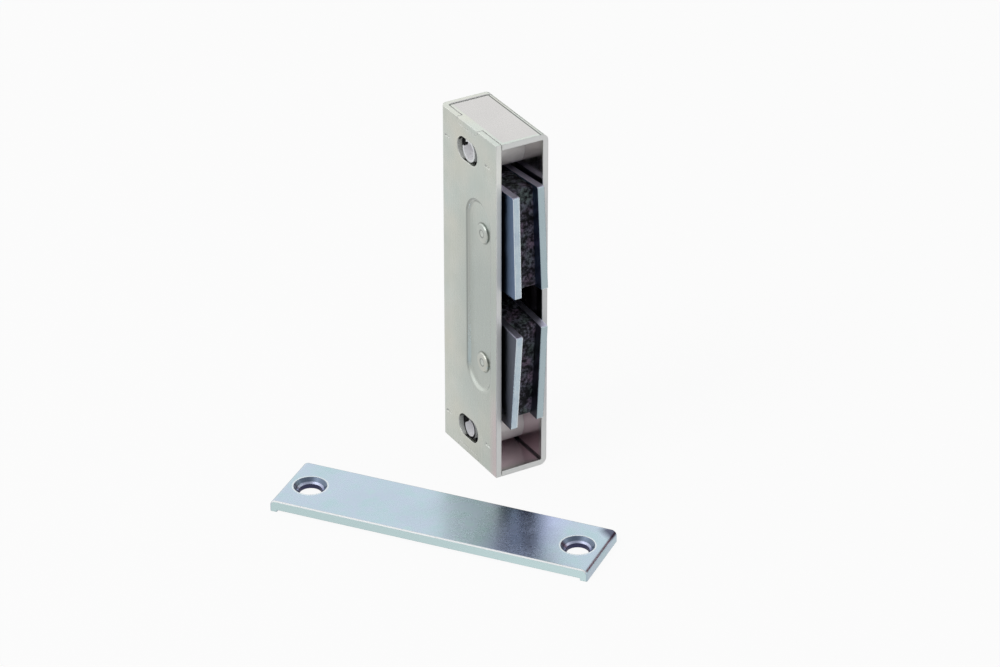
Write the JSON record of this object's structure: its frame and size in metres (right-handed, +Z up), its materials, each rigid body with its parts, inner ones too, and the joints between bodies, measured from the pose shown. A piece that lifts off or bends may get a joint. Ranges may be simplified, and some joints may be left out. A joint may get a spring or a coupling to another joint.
{
  "type": "double magnetic catch with strike plate",
  "caption": "Folded sheet-steel casing standing on its end, with rocking magnet packs between steel pole plates, and a flat drilled strike plate lying beside it.",
  "frame": {"origin": "middle of the casing's lower end face, on the surface it stands on", "axes": "+Z up along the casing's height, -Y towards the open side where the pole plates stand out, X across the thickness of the casing"},
  "size_m": [0.0577, 0.0651, 0.076],
  "materials": {
    "casing_sheet": "nickel-plated folded sheet, semi-bright outside, brighter inside",
    "sleeve_steel": "bright turned steel, satin",
    "rivet_steel": "nickel-plated, flat head with a dimple",
    "pole_steel": "bright bluish zinc plating",
    "magnet_ferrite": "rough black sintered ferrite",
    "strike_steel": "bright bluish zinc plating"
  },
  "bodies": {
    "root": {"casing": "casing_sheet", "lower_spacer_sleeve": "sleeve_steel", "upper_spacer_sleeve": "sleeve_steel", "lower_rivet": "rivet_steel", "upper_rivet": "rivet_steel", "strike_plate": "strike_steel"},
    "upper_pack": {"upper_left_pole_plate": "pole_steel", "upper_magnet": "magnet_ferrite", "upper_right_pole_plate": "pole_steel"},
    "lower_pack": {"lower_left_pole_plate": "pole_steel", "lower_magnet": "magnet_ferrite", "lower_right_pole_plate": "pole_steel"}
  },
  "joints": [
    {"name": "upper_pack_rock", "type": "hinge", "parent": "root", "child": "upper_pack", "pos_m": [0, -0.005, 0.0538], "axis": [1, 0, 0], "range_deg": [-1.4, 6.4]},
    {"name": "lower_pack_rock", "type": "hinge", "parent": "root", "child": "lower_pack", "pos_m": [0, -0.005, 0.0242], "axis": [1, 0, 0], "range_deg": [-7.8, 0]}
  ]
}
